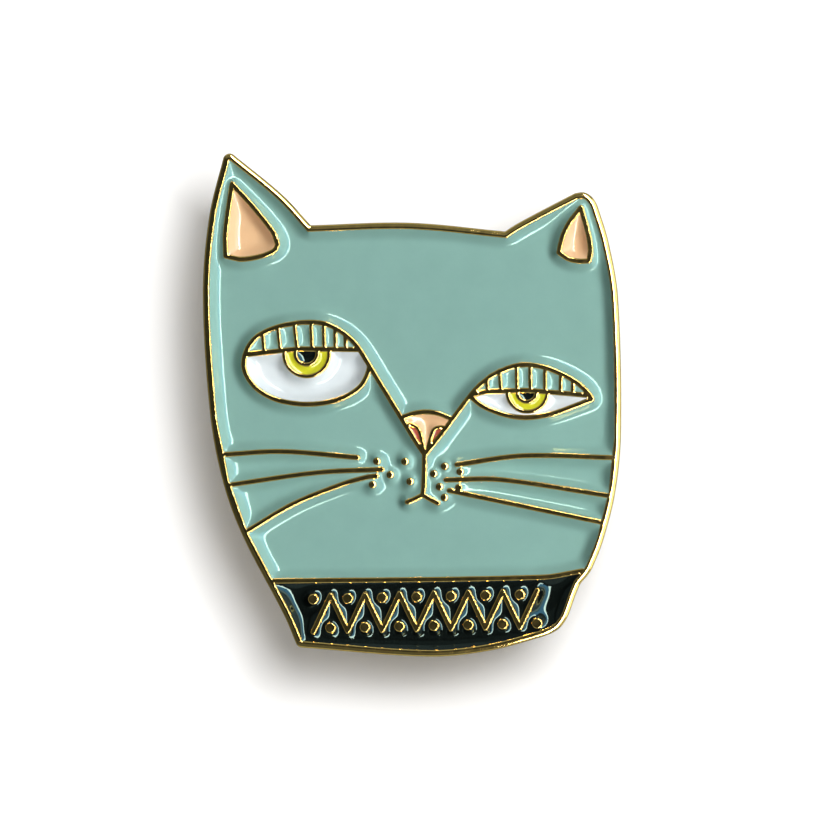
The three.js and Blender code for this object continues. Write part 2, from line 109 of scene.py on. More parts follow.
SAMPLE = 0.07 * MM  # along the edge of every raised line
CROWDED = 0.008 * MM  # points of a mesh that share a square of this size are merged
SHOULDER = 0.065 * MM  # how far in from its edge a raised line is rounded over
SHOULDER_DROP = 0.055 * MM  # and how far down
RIM_ROUND = 0.28 * MM  # how far in from its outer edge the rim is rounded over
RIM_DROP = 0.14 * MM  # and how far down
BACK_ROUND = 0.12 * MM  # radius of the edge round the back
BACK_STEPS = 4
DOT_AREA = math.pi * (0.3 * MM) ** 2  # islands of metal smaller than this are dots
DOT_ROUND = 0.09 * MM  # how far in from its edge a dot is rounded over
CONTACT = PLATE_TOP - 1.1 * SHOULDER_DROP  # where the enamel meets the metal
WALL_SLOPE = 0.92  # rise over run of the enamel beside a wall
STEEP = 0.27 * MM  # how far from the wall it keeps that slope
REACH = 0.78 * MM  # how far from the wall it has lost all of it
BLEND = 0.28 * MM  # over which the slopes from neighbouring walls run into each other
ROW_SHARES = (0.04, 0.1, 0.18, 0.27, 0.36, 0.46, 0.57, 0.69, 0.83, 1, 1.2)
ENAMEL_ROWS = [share * REACH for share in ROW_SHARES]  # how far from the walls its points lie
ENAMEL_PITCH = 0.17 * MM  # between the points farther in
ROW_SLACK = 0.93  # a row keeps its points that lie at least this share of its distance from all edges

CORNER = math.radians(50)  # a bend sharper than this stays a corner
SLIGHT_CORNER = math.radians(25)  # so does this one, unless both of its sides are short
SHORT_SIDE = 0.45 * MM  # a side up to this length is short
SHORTEST_SIDE = 0.03 * MM  # of two points nearer than this one is left out

# ---------------------------------------------------------------- plane curves


def flat_loops(node, height):
    """The closed edges of a CAD node's flat faces at one height, with material on their left."""
    mesh = frame["nodes"][node].data
    mesh.calc_loop_triangles()
    places = {}
    following = {}
    for triangle in mesh.loop_triangles:
        corners = [mesh.vertices[i].co for i in triangle.vertices]
        if any(abs(corner.z - height) > TOUCH for corner in corners):
            continue
        keys = [(round(corner.x / TOUCH), round(corner.y / TOUCH)) for corner in corners]
        places.update(zip(keys, [corner.xy for corner in corners]))
        for start, end in zip(keys, keys[1:] + keys[:1]):
            if start in following.get(end, ()):
                following[end].remove(start)
            else:
                following.setdefault(start, []).append(end)
    loops = []
    for first in list(following):
        while following[first]:
            loop = [first]
            while following[loop[-1]]:
                loop.append(following[loop[-1]].pop())
            loops.append(np.array([places[key] for key in loop[:-1]]))
    return loops


def area(loop):
    """The loop's area, negative where it runs clockwise."""
    x, y = loop.T
    return 0.5 * float(np.sum(x * np.roll(y, -1) - np.roll(x, -1) * y))


def holds(loop, point):
    """Whether a point lies inside a loop."""
    (x, y), (next_x, next_y) = loop.T, np.roll(loop, -1, 0).T
    spans = (y > point[1]) != (next_y > point[1])
    rise = np.where(spans, next_y - y, 1)
    crossing = x + (point[1] - y) * (next_x - x) / rise
    return int(np.sum(spans & (crossing > point[0]))) % 2 == 1


def fair(loop):
    """The loop as a smooth curve through its points, sampled closely, with its corners kept."""
    loop = loop[np.linalg.norm(loop - np.roll(loop, 1, 0), axis=1) > SHORTEST_SIDE]
    side = np.roll(loop, -1, 0) - loop
    length = np.linalg.norm(side, axis=1)
    heading = side / length[:, None]
    past, past_length = np.roll(heading, 1, 0), np.roll(length, 1)
    turn = np.arccos(np.clip(np.sum(past * heading, axis=1), -1, 1))
    long_sided = np.maximum(length, past_length) > SHORT_SIDE
    corner = (turn > CORNER) | ((turn > SLIGHT_CORNER) & long_sided)
    share = (length / (length + past_length))[:, None]
    tangent = share * heading + (1 - share) * past
    points = []
    for i in range(len(loop)):
        j = (i + 1) % len(loop)
        leave = heading[i] if corner[i] else tangent[i]
        reach = heading[i] if corner[j] else tangent[j]
        t = np.arange(0, 1, 1 / max(1, round(length[i] / SAMPLE)))[:, None]
        points.append(
            (2 * t**3 - 3 * t**2 + 1) * loop[i]
            + (t**3 - 2 * t**2 + t) * length[i] * leave
            + (3 * t**2 - 2 * t**3) * loop[j]
            + (t**3 - t**2) * length[i] * reach
        )
    return np.concatenate(points)


def inward(loop):
    """Unit normals of a loop's points, towards the material on its left."""
    along = np.roll(loop, -1, 0) - np.roll(loop, 1, 0)
    along /= np.linalg.norm(along, axis=1)[:, None]
    return np.stack([-along[:, 1], along[:, 0]], axis=1)


class Edges:
    """Loops that a point's distance is measured to."""

    def __init__(self, loops):
        corners, walls = [], []
        for loop in loops:
            first, count = len(corners), len(loop)
            corners += [Vector((x, y, z)) for x, y in loop for z in (-MM, MM)]
            for i in range(count):
                a, b = first + 2 * i, first + 2 * ((i + 1) % count)
                walls.append((a, b, b + 1, a + 1))
        self.tree = BVHTree.FromPolygons(corners, walls)

    def distance(self, points):
        return np.array([self.tree.find_nearest((x, y, 0))[3] for x, y in points])


def triangulated(loops, rings=(), pitch=None):
    """Points and triangles that fill the loops, with rows of points at the given distances inside
    their edges and, past the last row, an even field of points."""
    edge_points = np.concatenate(loops)
    edges, start = [], 0
    for loop in loops:
        count = len(loop)
        edges += [(start + i, start + (i + 1) % count) for i in range(count)]
        start += count
    near = Edges(loops)
    rows = [edge_points]
    for distance in rings:
        row = np.concatenate([loop + distance * inward(loop) for loop in loops])
        rows.append(row[near.distance(row) > ROW_SLACK * distance])
    if pitch:
        low, high = edge_points.min(0), edge_points.max(0)
        across = np.arange(low[0], high[0], pitch)
        up = np.arange(low[1], high[1], pitch * math.sqrt(3) / 2)
        field = np.array([(x + (k % 2) * pitch / 2, y) for k, y in enumerate(up) for x in across])
        rows.append(field[near.distance(field) > rings[-1] + pitch / 2])
    inner = np.concatenate(rows[1:]) if len(rows) > 1 else np.empty((0, 2))
    cell = np.round(inner / CROWDED).astype(np.int64)
    inner = inner[np.unique(cell, axis=0, return_index=True)[1]]
    everything = [Vector(point) / MM for point in np.concatenate([edge_points, inner])]
    same_point = 1e-6  # millimetres
    points, _, faces, origin, *_ = delaunay_2d_cdt(everything, edges, [], 0, same_point)
    made_from = {old: new for new, olds in enumerate(origin) for old in olds}
    walls = {(made_from[a], made_from[b]) for a, b in edges}
    faces = inside_faces([tuple(face) for face in faces], walls)
    used = np.unique(faces)
    number = np.zeros(len(points), np.int64)
    number[used] = np.arange(len(used))
    return np.array([points[i] for i in used]) * MM, number[faces]


def inside_faces(faces, walls):
    """The triangles reached from the left side of the walls without crossing one."""
    beside = {}
    for i, (a, b, c) in enumerate(faces):
        for side in ((a, b), (b, c), (c, a)):
            beside[side] = i
    reached = {beside[wall] for wall in walls if wall in beside}
    waiting = list(reached)
    while waiting:
        a, b, c = faces[waiting.pop()]
        for side in ((a, b), (b, c), (c, a)):
            other = beside.get(side[::-1])
            if side not in walls and other is not None and other not in reached:
                reached.add(other)
                waiting.append(other)
    return np.array([faces[i] for i in sorted(reached)])


# ---------------------------------------------------------------- meshes


def band_faces(count):
    """The faces between two closed rows of `count` points each."""
    return [(i, (i + 1) % count, count + (i + 1) % count, count + i) for i in range(count)]


class Skin:
    """A mesh gathered from patches that share their edges."""

    def __init__(self):
        self.points = []
        self.faces = []
        self.finishes = []

    def add(self, points, faces, finish=0):
        first = sum(len(patch) for patch in self.points)
        self.points.append(np.asarray(points, float))
        self.faces += [tuple(first + int(i) for i in face) for face in faces]
        self.finishes += [finish] * len(faces)

    def add_sheet(self, plan, faces, heights, finish=0):
        self.add(np.column_stack([plan, np.broadcast_to(heights, len(plan))]), faces, finish)

    def add_wall(self, plan, low, high, finish=0):
        """An upright band round a closed plan."""
        count = len(plan)
        band = [np.column_stack([plan, np.broadcast_to(z, count)]) for z in (low, high)]
        self.add(np.concatenate(band), band_faces(count), finish)

    def build(self, name, materials, sharp=math.radians(40)):
        """The mesh as an object, smooth but for edges that bend by more than `sharp`."""
        mesh = bpy.data.meshes.new(name)
        shell = bmesh.new()
        points = [shell.verts.new(point) for point in np.concatenate(self.points)]
        for face, finish in zip(self.faces, self.finishes):
            shell.faces.new([points[i] for i in face]).material_index = finish
        bmesh.ops.remove_doubles(shell, verts=shell.verts[:], dist=5 * TOUCH)
        bmesh.ops.recalc_face_normals(shell, faces=shell.faces[:])
        shell.to_mesh(mesh)
        shell.free()
        for material in materials:
            mesh.materials.append(material)
        mesh.shade_smooth()
        mesh.set_sharp_from_angle(angle=sharp)
        piece = bpy.data.objects.new(name, mesh)
        bpy.context.scene.collection.objects.link(piece)
        return piece


def stands_for(piece, node):
    """The piece takes a CAD node's place on its body."""
    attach(piece, frame["nodes"][node]["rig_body"])
    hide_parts(node)


# ---------------------------------------------------------------- materials


def srgb(red, green, blue):
    """Linear colour from the usual 0 to 255 values."""
    shares = [value / 255 for value in (red, green, blue)]
    return [s / 12.92 if s < 0.04045 else ((s + 0.055) / 1.055) ** 2.4 for s in shares] + [1]


class Finish:
    """A material under construction: a Principled shader with noise in millimetres."""

    def __init__(self, name):
        self.material = bpy.data.materials.new(name)
        self.material.use_nodes = True
        self.nodes = self.material.node_tree.nodes
        self.links = self.material.node_tree.links
        self.shader = self.nodes["Principled BSDF"]
        place = self.nodes.new("ShaderNodeTexCoord").outputs["Object"]
        scaled = self.nodes.new("ShaderNodeVectorMath")
        scaled.operation = "SCALE"
        scaled.inputs["Scale"].default_value = 1 / MM
        self.links.new(place, scaled.inputs[0])
        self.place = scaled.outputs[0]
        self.normal = None

    def set(self, **values):
        for name, value in values.items():
            self.shader.inputs[name.replace("_", " ")].default_value = value

    def noise(self, size, detail=2.0, stretch=(1, 1, 1)):
        """Soft noise whose features measure about `size` millimetres."""
        node = self.nodes.new("ShaderNodeTexNoise")
        node.inputs["Scale"].default_value = 1 / size
        node.inputs["Detail"].default_value = detail
        stretched = self.nodes.new("ShaderNodeVectorMath")
        stretched.operation = "MULTIPLY"
        stretched.inputs[1].default_value = stretch
        self.links.new(self.place, stretched.inputs[0])
        self.links.new(stretched.outputs[0], node.inputs["Vector"])
        return node.outputs["Fac"]

    def ranged(self, value, low, high, start=0.3, end=0.7):
        """The value's start..end stretched over low..high."""
        node = self.nodes.new("ShaderNodeMapRange")
        for socket, number in zip(node.inputs[1:5], (start, end, low, high)):
            socket.default_value = number
        self.links.new(value, node.inputs[0])
        return node.outputs[0]

    def mixed(self, share, first, second):
        """Two colours, or a link and a colour, mixed by a share."""
        node = self.nodes.new("ShaderNodeMix")
        node.data_type = "RGBA"
        self.links.new(share, node.inputs["Factor"])
        for socket, colour in ((node.inputs[6], first), (node.inputs[7], second)):
            if isinstance(colour, list):
                socket.default_value = colour
            else:
                self.links.new(colour, socket)
        return node.outputs[2]

    def bump(self, height, depth, strength=1.0):
        """Adds relief of the given depth in millimetres."""
        node = self.nodes.new("ShaderNodeBump")
        node.inputs["Strength"].default_value = strength
        node.inputs["Distance"].default_value = depth * MM
        self.links.new(height, node.inputs["Height"])
        if self.normal:
            self.links.new(self.normal, node.inputs["Normal"])
        self.normal = node.outputs["Normal"]
        self.links.new(self.normal, self.shader.inputs["Normal"])

    def feed(self, name, value):
        self.links.new(value, self.shader.inputs[name])


def enamel(name, colour, shade=0.94):
    """Glossy poured enamel: faint blotches and grain in the colour, and a barely uneven surface."""
    finish = Finish(name)
    tint = srgb(*colour)
    deeper = [value * shade for value in tint[:3]] + [1]
    blotches = finish.ranged(finish.noise(1.7, 3), 0, 1)
    grain = finish.ranged(finish.noise(0.12, 1), 0, 0.35)
    mottled = finish.mixed(blotches, tint, deeper)
    finish.feed("Base Color", finish.mixed(grain, mottled, deeper))
    finish.feed("Roughness", finish.ranged(finish.noise(0.9, 2), 0.05, 0.08))
    finish.set(IOR=1.5, Specular_IOR_Level=0.5, Specular_Tint=(0.6, 0.95, 1, 1))
    finish.bump(finish.noise(2.5, 1), 0.008)
    return finish.material


def gold(name):
    """Bright plating over polished brass, with a faintly uneven surface and worn, browner patches."""
    finish = Finish(name)
    worn = finish.ranged(finish.noise(0.8, 3), 0, 1, 0.45, 0.75)
    bright = [0.93, 0.71, 0.27, 1]
    brown = [0.85, 0.61, 0.23, 1]
    finish.feed("Base Color", finish.mixed(worn, bright, brown))
    finish.feed("Roughness", finish.ranged(finish.noise(0.35, 3), 0.06, 0.14))
    finish.set(Metallic=1.0)
    finish.bump(finish.noise(0.6, 2), 0.005)
    return finish.material


def sandblasted_gold(name):
    """The plated back: fine pits all over, duller between them."""
    finish = Finish(name)
    pits = finish.noise(0.11, 2)
    bright = [0.86, 0.65, 0.27, 1]
    dull = [0.62, 0.43, 0.17, 1]
    finish.feed("Base Color", finish.mixed(finish.ranged(pits, 0, 1), dull, bright))
    finish.feed("Roughness", finish.ranged(finish.noise(1.2, 2), 0.34, 0.46))
    finish.set(Metallic=1.0)
    finish.bump(pits, 0.03)
    return finish.material


def tin_solder(name):
    """Dull solder, pitted as it froze and stained brown by flux."""
    finish = Finish(name)
    stains = finish.ranged(finish.noise(0.9, 3), 0, 1, 0.5, 0.75)
    finish.feed("Base Color", finish.mixed(stains, [0.6, 0.58, 0.54, 1], [0.3, 0.22, 0.13, 1]))
    finish.feed("Roughness", finish.ranged(finish.noise(0.5, 3), 0.3, 0.55))
    finish.set(Metallic=1.0)
    finish.bump(finish.noise(0.8, 2), 0.09)
    finish.bump(finish.noise(0.15, 2), 0.012)
    return finish.material


def nickel(name):
    """Pressed and barrel-polished sheet: fine scratches and slightly yellowed patches."""
    finish = Finish(name)
    patches = finish.ranged(finish.noise(1.6, 3), 0, 1)
    finish.feed("Base Color", finish.mixed(patches, [0.76, 0.74, 0.7, 1], [0.64, 0.6, 0.52, 1]))
    finish.feed("Roughness", finish.ranged(finish.noise(0.4, 3), 0.14, 0.3))
    finish.set(Metallic=1.0)
    finish.bump(finish.noise(1.1, 2), 0.01)
    finish.bump(finish.noise(0.07, 2, (1, 7, 1)), 0.0015)
    return finish.material


def drawn_wire(name):
    """Spring steel wire with the marks of the die it was drawn through."""
    finish = Finish(name)
    oil = finish.ranged(finish.noise(0.7, 2), 0, 1)
    finish.feed("Base Color", finish.mixed(oil, [0.52, 0.52, 0.54, 1], [0.36, 0.35, 0.34, 1]))
    finish.feed("Roughness", finish.ranged(finish.noise(0.3, 2), 0.2, 0.36))
    finish.set(Metallic=1.0)
    finish.bump(finish.noise(0.05, 1, (1, 1, 8)), 0.002)
    return finish.material


GOLD = gold("gold_plating")
GOLD_BACK = sandblasted_gold("sandblasted_gold")
SOLDER = tin_solder("tin_solder")
NICKEL = nickel("polished_nickel")
WIRE = drawn_wire("spring_wire")
ENAMELS = {
    "enamel_teal": enamel("teal_enamel", (144, 178, 167)),
    "enamel_peach": enamel("peach_enamel", (248, 196, 150)),
    "enamel_coral": enamel("coral_enamel", (186, 86, 67)),
    "enamel_white": enamel("white_enamel", (235, 233, 234)),
    "enamel_yellow": enamel("yellow_enamel", (223, 214, 48)),
    "enamel_black": enamel("black_enamel", (14, 17, 15)),
}

# ---------------------------------------------------------------- drawing

raised = [fair(loop) for loop in flat_loops("base_plate", PLATE_TOP)]
outline = max(raised, key=area)
line_edges = [loop for loop in raised if loop is not outline]
cells = [loop for loop in line_edges if area(loop) < 0]
islands = [loop for loop in line_edges if area(loop) > 0]


def cell_round(point):
    """The number of the smallest cell that a point lies in."""
    return min((abs(area(cell)), i) for i, cell in enumerate(cells) if holds(cell, point))[1]


cell_islands = {}
for island in islands:
    cell_islands.setdefault(cell_round(island[0]), []).append(island)

# ---------------------------------------------------------------- struck metal body


def rounded_drop(distance, width, depth, bulge):
    """How far a worn edge lies below the flat at a distance from it. With a bulge of 1 the edge
    is a straight bevel, with one of 2 it curves evenly."""
    return depth * np.clip(1 - distance / width, 0, 1) ** bulge


def metal_body():
    """The struck plate: raised lines and rim, recesses, side, rounded back edge and back."""
    skin = Skin()
    rings = [0.1 * SHOULDER, 0.35 * SHOULDER, 0.7 * SHOULDER, SHOULDER]
    rings += [DOT_ROUND] + [share * RIM_ROUND for share in (0.25, 0.5, 0.75, 1)]
    plan, faces = triangulated(raised, rings)
    from_outline = Edges([outline]).distance(plan)
    from_lines = Edges(line_edges).distance(plan)
    from_dots = Edges([loop for loop in islands if area(loop) < DOT_AREA]).distance(plan)
    width = np.where(from_dots < from_lines + TOUCH, DOT_ROUND, SHOULDER)
    drop = np.maximum(
        rounded_drop(from_outline, RIM_ROUND, RIM_DROP, 2),
        rounded_drop(from_lines, width, SHOULDER_DROP, 1.25),
    )
    skin.add_sheet(plan, faces, PLATE_TOP - drop)
    for number, cell in enumerate(cells):
        walls = [cell] + cell_islands.get(number, [])
        skin.add_sheet(*triangulated([wall[::-1] for wall in walls]), RECESS_FLOOR)
        for wall in walls:
            skin.add_wall(wall, RECESS_FLOOR, PLATE_TOP - SHOULDER_DROP)
    steps = [math.radians(90 * k / BACK_STEPS) for k in range(BACK_STEPS + 1)]
    inset = [BACK_ROUND * (1 - math.cos(step)) for step in steps]
    height = [BACK_ROUND * (1 - math.sin(step)) for step in steps]
    rows = [outline + amount * inward(outline) for amount in inset]
    skin.add_wall(outline, height[0], PLATE_TOP - RIM_DROP)
    count = len(outline)
    for k in range(BACK_STEPS):
        band = np.concatenate(
            [np.column_stack([rows[j], np.full(count, height[j])]) for j in (k, k + 1)]
        )
        skin.add(band, band_faces(count))
    spots = [fair(loop) for loop in flat_loops("base_plate", 0) if area(loop) > 0]
    skin.add_sheet(*triangulated([rows[-1]] + [spot[::-1] for spot in spots]), 0, 1)
    for spot in spots:
        skin.add_sheet(*triangulated([spot]), SPOT_TOP, 1)
        skin.add_wall(spot, 0, SPOT_TOP, 1)
    piece = skin.build("metal_body", [GOLD, GOLD_BACK])
    stands_for(piece, "base_plate")


# ---------------------------------------------------------------- enamel


def reach_from_walls(plan, faces, fixed):
    """Each point's distance from the fixed points, blended where walls stand close together. It
    comes from a skin that is held up at its fixed points and decays away from them, solved on the
    mesh by conjugate gradients."""
    count = len(plan)
    pull = np.zeros(count)
    starts, ends, weights = [], [], []
    for k in range(3):
        a, b, c = faces[:, k], faces[:, (k + 1) % 3], faces[:, (k + 2) % 3]
        u, v = plan[a] - plan[c], plan[b] - plan[c]
        cross = np.abs(u[:, 0] * v[:, 1] - u[:, 1] * v[:, 0]) + 1e-18
        weight = 0.5 * np.sum(u * v, axis=1) / cross
        starts += [a, b]
        ends += [b, a]
        weights += [weight, weight]
        pull += np.bincount(c, cross / 6, count)
    starts, ends, weights = (np.concatenate(part) for part in (starts, ends, weights))
    pull /= BLEND**2
    diagonal = np.bincount(starts, weights, count) + pull

    def stiffness(values):
        return diagonal * values - np.bincount(starts, weights * values[ends], count)

    most_rounds = 400
    close_enough = 1e-7
    least_held = 1e-3  # farther in, the distance no longer matters
    free = ~fixed
    held = np.where(fixed, 1.0, 0.0)
    residual = np.where(free, -stiffness(held), 0)
    direction = residual / diagonal
    energy = residual @ direction
    for _ in range(most_rounds):
        moved = np.where(free, stiffness(direction), 0)
        step = energy / (direction @ moved)
        held += step * direction
        residual -= step * moved
        scaled = residual / diagonal
        previous, energy = energy, residual @ scaled
        if np.abs(scaled).max() < close_enough:
            break
        direction = scaled + energy / previous * direction
    return -BLEND * np.log(np.clip(held, least_held, 1))


def sag(distance):
    """How far enamel lies below the top of a wall at a distance from it."""
    share = np.clip((distance - STEEP) / (REACH - STEEP), 0, 1)
    return WALL_SLOPE * (np.minimum(distance, STEEP) + (REACH - STEEP) * (share - share**2 / 2))


def enamel_fill(node, slot):
    """One fill, bounded by the metal walls round it."""
    mesh = frame["nodes"][node].data
    mesh.calc_loop_triangles()
    top = next(
        t for t in mesh.loop_triangles
        if all(abs(mesh.vertices[i].co.z - ENAMEL_HIGH.z) < TOUCH for i in t.vertices)
    )
    number = cell_round(top.center.xy)
    walls = [wall[::-1] for wall in [cells[number]] + cell_islands.get(number, [])]
    plan, faces = triangulated(walls, ENAMEL_ROWS, ENAMEL_PITCH)
    fixed = Edges(walls).distance(plan) < TOUCH
    skin = Skin()
    skin.add_sheet(plan, faces, CONTACT - sag(reach_from_walls(plan, faces, fixed)))
    skin.add_sheet(*triangulated(walls), RECESS_FLOOR)
    for wall in walls:
        skin.add_wall(wall, RECESS_FLOOR, CONTACT)
    piece = skin.build(node + "_gloss", [ENAMELS[slot]])
    stands_for(piece, node)
    return piece


metal_body()
fills = [
    enamel_fill(part["node"], part["material_slot"])
    for part in frame["record"]["subparts"]
    if part["material_slot"].startswith("enamel")
]

# ---------------------------------------------------------------- posts and clutches

TURNS = 96  # steps round a turned piece
POST_EASE = 0.1 * MM  # how far from a corner of a post's section its rounding starts
BEAD_EASE = 0.1 * MM
DISC_EASE = 0.18 * MM
SHEET = 0.3 * MM  # of the clutch's cover
SHEET_EASE = 0.07 * MM  # bevel on its edges
COVER_BEND = 0.6 * MM
SLOT_WIDTH = 2.6 * MM  # the cover's slots for the wings
SLOT_START = 2.7 * MM  # from the post's axis
SLOT_HEIGHT = 2.2 * MM
WING_SHEET = 0.4 * MM
WING_EASE = 0.1 * MM
WING_BEND = 0.7 * MM
WING_NECK = 2 * MM
WING_TAB = 4.4 * MM
NECK_END = 4.35 * MM  # from the post's axis
TAB_START = 5.2 * MM
TAB_ROUND = 0.7 * MM
WING_LINE = [  # (from the post's axis, from the clutch's face), in millimetres
    (0.82, -1.15), (1.7, -1.3), (2.35, -1.75), (2.6, -2.4), (3.4, -3.15), (4.7, -3.65), (5.5, -4.4),
    (5.85, -5.4),
]
SPRING_GAP = 0.3  # radians, half the opening of the ring


def section_of(node):
    """The axis of a turned CAD node, and the (radius, height) corners of its section in order."""
    mesh = frame["nodes"][node].data
    low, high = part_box(node)
    axis = (low + high).xy / 2
    near = 10 * TOUCH
    beside = {}
    for edge in mesh.edges:
        ends = [mesh.vertices[i].co for i in edge.vertices]
        if all(abs(end.y - axis.y) < near and end.x > axis.x - near for end in ends):
            first, second = [(round((end.x - axis.x) / near), round(end.z / near)) for end in ends]
            if first != second:
                beside.setdefault(first, set()).add(second)
                beside.setdefault(second, set()).add(first)
    line = [min(beside, key=lambda corner: (len(beside[corner]), corner))]
    while onward := [corner for corner in beside[line[-1]] if corner not in line]:
        line.append(onward[0])
    return axis, np.array(line) * near


def softened(line, radius, closed=False, steps=4):
    """The line with each corner rounded over up to `radius` of both its sides."""
    line = np.asarray(line, float)
    corners = range(len(line)) if closed else range(1, len(line) - 1)
    soft = [] if closed else [line[:1]]
    for i in corners:
        corner = line[i]
        sides = [line[i - 1] - corner, line[(i + 1) % len(line)] - corner]
        start, end = (
            corner + side * min(radius / np.linalg.norm(side), 0.5) for side in sides
        )
        share = np.linspace(0, 1, steps + 1)[:, None]
        soft.append((1 - share) ** 2 * start + 2 * share * (1 - share) * corner + share**2 * end)
    return np.concatenate(soft if closed else soft + [line[-1:]])


def add_turned(skin, line, axis, closed=False):
    """The line, in (radius, height), swept round an upright axis."""
    count = len(line)
    spokes = [2 * math.pi * k / TURNS for k in range(TURNS)]
    points = [(axis.x + r * math.cos(a), axis.y + r * math.sin(a), z) for a in spokes for r, z in line]
    faces = []
    for k in range(TURNS):
        here, there = k * count, (k + 1) % TURNS * count
        for i in range(count if closed else count - 1):
            j = (i + 1) % count
            faces.append((here + i, here + j, there + j, there + i))
    skin.add(points, faces)


def turned_piece(name, node, finish, rounding, closed=False):
    """A turned CAD node made again with more steps and softened corners."""
    axis, line = section_of(node)
    skin = Skin()
    add_turned(skin, softened(line, rounding, closed), axis, closed)
    piece = skin.build(name, [finish])
    stands_for(piece, node)


def thicken(piece, thickness, rounding):
    """Gives a sheet its thickness and eased edges."""
    solidify = piece.modifiers.new("thickness", "SOLIDIFY")
    solidify.thickness = thickness
    solidify.offset = 0
    bevel = piece.modifiers.new("eased_edges", "BEVEL")
    bevel.width = rounding
    bevel.segments = 3
    bevel.limit_method = "ANGLE"
    bevel.angle_limit = math.radians(50)


def clutch_cover(side):
    """A pressed cup on a flat flange, slotted for the wings."""
    node = "clutch_cover_" + side
    axis, line = section_of(node)
    half = len(line) // 2
    middle = (line[:half] + line[::-1][:half]) / 2
    if middle[0, 0] > middle[-1, 0]:
        middle = middle[::-1]
    middle = np.concatenate([[(0, middle[0, 1])], middle[middle[:, 0] > TOUCH]])
    skin = Skin()
    add_turned(skin, softened(middle, COVER_BEND), axis)
    piece = skin.build("cover_" + side, [NICKEL])
    slot_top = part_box(node)[0].z + SHEET + SLOT_HEIGHT
    cuts = [((axis.x + s * SLOT_WIDTH / 2, 0, 0), (1, 0, 0)) for s in (-1, 1)]
    cuts += [((0, axis.y + s * SLOT_START, 0), (0, 1, 0)) for s in (-1, 1)]
    cuts += [((0, 0, slot_top), (0, 0, 1))]
    shell = bmesh.new()
    shell.from_mesh(piece.data)
    for place, normal in cuts:
        everything = shell.verts[:] + shell.edges[:] + shell.faces[:]
        bmesh.ops.bisect_plane(shell, geom=everything, dist=TOUCH, plane_co=place, plane_no=normal)
    cut_out = []
    for face in shell.faces:
        x, y, z = face.calc_center_median() - axis.to_3d()
        if abs(x) < SLOT_WIDTH / 2 and abs(y) > SLOT_START and z < slot_top:
            cut_out.append(face)
    bmesh.ops.delete(shell, geom=cut_out, context="FACES")
    shell.to_mesh(piece.data)
    shell.free()
    thicken(piece, SHEET, SHEET_EASE)
    stands_for(piece, node)


def clutch_wing(side, letter, towards):
    """A lever of bent sheet: jaw, pivot bend, neck and finger tab."""
    node = f"wing_{side}_{letter}"
    low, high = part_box("clutch_disc_" + side)
    axis, face = (low + high).xy / 2, high.z
    line = softened(np.array(WING_LINE) * MM, WING_BEND, steps=6)
    lengths = np.linalg.norm(np.diff(line, axis=0), axis=1)
    along = np.concatenate([[0], np.cumsum(lengths)])
    stations = np.linspace(0, along[-1], 60)
    reach = np.interp(stations, along, line[:, 0])
    depth = np.interp(stations, along, line[:, 1])
    share = np.clip((reach - NECK_END) / (TAB_START - NECK_END), 0, 1)
    half = (WING_NECK + (WING_TAB - WING_NECK) * share**2 * (3 - 2 * share)) / 2
    from_end = np.minimum(along[-1] - stations, TAB_ROUND)
    half -= TAB_ROUND - np.sqrt(TAB_ROUND**2 - (TAB_ROUND - from_end) ** 2)
    columns = np.linspace(-1, 1, 9)
    points = [
        (axis.x + towards * w * c, axis.y + towards * y, face + z)
        for y, z, w in zip(reach, depth, half) for c in columns
    ]
    faces = []
    for i in range(len(stations) - 1):
        for k in range(len(columns) - 1):
            corner = i * len(columns) + k
            faces.append((corner, corner + 1, corner + 1 + len(columns), corner + len(columns)))
    skin = Skin()
    skin.add(points, faces)
    piece = skin.build(f"lever_{side}_{letter}", [NICKEL])
    thicken(piece, WING_SHEET, WING_EASE)
    stands_for(piece, node)


def clutch_spring(side):
    """An open ring of round wire with rounded ends."""
    node = "spring_" + side
    low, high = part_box(node)
    wire = (high.z - low.z) / 2
    ring = (high.y - low.y) / 2 - wire
    low_disc, high_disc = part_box("clutch_disc_" + side)
    axis = (low_disc + high_disc).xy / 2
    middle = (low.z + high.z) / 2
    turns = np.linspace(SPRING_GAP, 2 * math.pi - SPRING_GAP, 90)
    cap = np.linspace(0, math.pi / 2, 5)[1:]
    rounding = [(wire * math.sin(a), wire * math.cos(a)) for a in cap]
    stations = [(turns[0] - past / ring, max(r, TOUCH)) for past, r in reversed(rounding)]
    stations += [(turn, wire) for turn in turns]
    stations += [(turns[-1] + past / ring, max(r, TOUCH)) for past, r in rounding]
    sides = 14
    points = []
    for turn, radius in stations:
        for k in range(sides):
            a = 2 * math.pi * k / sides
            spoke = ring + radius * math.cos(a)
            rise = middle + radius * math.sin(a)
            points.append((axis.x + spoke * math.cos(turn), axis.y + spoke * math.sin(turn), rise))
    faces = [range(sides), range(len(points) - sides, len(points))]
    for i in range(len(stations) - 1):
        for k in range(sides):
            n = (k + 1) % sides
            faces.append((i * sides + k, i * sides + n, (i + 1) * sides + n, (i + 1) * sides + k))
    skin = Skin()
    skin.add(points, faces)
    piece = skin.build("ring_" + side, [WIRE])
    stands_for(piece, node)


for side in ("left", "right"):
    disc = "clutch_disc_" + side
    turned_piece("pin_post_" + side, "post_" + side, GOLD, POST_EASE)
    turned_piece("solder_bead_" + side, "solder_" + side, SOLDER, BEAD_EASE, closed=True)
    turned_piece("disc_" + side, disc, NICKEL, DISC_EASE, closed=True)
    clutch_cover(side)
    clutch_wing(side, "a", 1)
    clutch_wing(side, "b", -1)
    clutch_spring(side)

# ---------------------------------------------------------------- floor, light and camera


